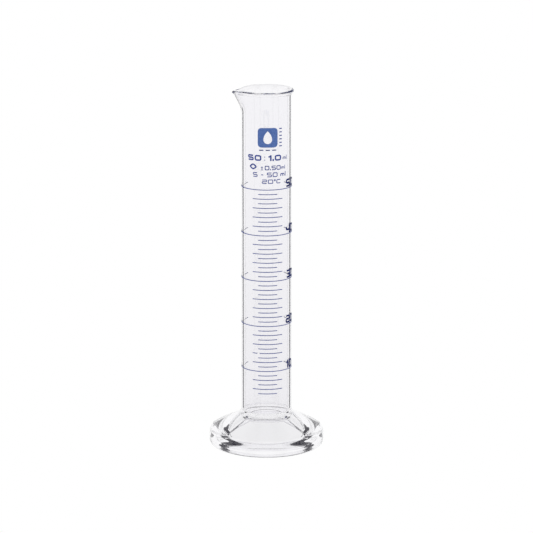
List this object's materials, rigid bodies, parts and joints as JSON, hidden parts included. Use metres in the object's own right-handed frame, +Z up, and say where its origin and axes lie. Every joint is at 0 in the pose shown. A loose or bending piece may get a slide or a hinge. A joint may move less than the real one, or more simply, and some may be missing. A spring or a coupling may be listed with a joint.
{
  "type": "graduated cylinder",
  "caption": "Tall clear glass measuring cylinder with a pouring lip, a turned-out rim, blue volume marks and numerals, and a round hollow glass foot.",
  "frame": {"origin": "centre of the foot's underside, on the surface that the cylinder stands on", "axes": "+Z up along the tube's axis; -Y is the side the scale faces; -X is the way the pouring lip points"},
  "size_m": [0.0586, 0.0586, 0.1858],
  "materials": {
    "clear_glass": "clear, fire-polished borosilicate glass",
    "scale_enamel": "thin fired blue enamel print, satin",
    "emblem_enamel": "solid fired blue enamel print, satin"
  },
  "bodies": {
    "root": {"measuring_tube": "clear_glass", "foot": "clear_glass", "short_line_05_ml": "scale_enamel", "long_line_06_ml": "scale_enamel", "short_line_07_ml": "scale_enamel", "long_line_08_ml": "scale_enamel", "short_line_09_ml": "scale_enamel", "ring_mark_10_ml": "scale_enamel", "numeral_10_tens": "scale_enamel", "numeral_10_units": "scale_enamel", "short_line_11_ml": "scale_enamel", "long_line_12_ml": "scale_enamel", "short_line_13_ml": "scale_enamel", "long_line_14_ml": "scale_enamel", "short_line_15_ml": "scale_enamel", "long_line_16_ml": "scale_enamel", "short_line_17_ml": "scale_enamel", "long_line_18_ml": "scale_enamel", "short_line_19_ml": "scale_enamel", "ring_mark_20_ml": "scale_enamel", "numeral_20_tens": "scale_enamel", "numeral_20_units": "scale_enamel", "short_line_21_ml": "scale_enamel", "long_line_22_ml": "scale_enamel", "short_line_23_ml": "scale_enamel", "long_line_24_ml": "scale_enamel", "short_line_25_ml": "scale_enamel", "long_line_26_ml": "scale_enamel", "short_line_27_ml": "scale_enamel", "long_line_28_ml": "scale_enamel", "short_line_29_ml": "scale_enamel", "ring_mark_30_ml": "scale_enamel", "numeral_30_tens": "scale_enamel", "numeral_30_units": "scale_enamel", "short_line_31_ml": "scale_enamel", "long_line_32_ml": "scale_enamel", "short_line_33_ml": "scale_enamel", "long_line_34_ml": "scale_enamel", "short_line_35_ml": "scale_enamel", "long_line_36_ml": "scale_enamel", "short_line_37_ml": "scale_enamel", "long_line_38_ml": "scale_enamel", "short_line_39_ml": "scale_enamel", "ring_mark_40_ml": "scale_enamel", "numeral_40_tens": "scale_enamel", "numeral_40_units": "scale_enamel", "short_line_41_ml": "scale_enamel", "long_line_42_ml": "scale_enamel", "short_line_43_ml": "scale_enamel", "long_line_44_ml": "scale_enamel", "short_line_45_ml": "scale_enamel", "long_line_46_ml": "scale_enamel", "short_line_47_ml": "scale_enamel", "long_line_48_ml": "scale_enamel", "short_line_49_ml": "scale_enamel", "ring_mark_50_ml": "scale_enamel", "numeral_50_tens": "scale_enamel", "numeral_50_units": "scale_enamel", "emblem": "emblem_enamel"}
  },
  "joints": []
}
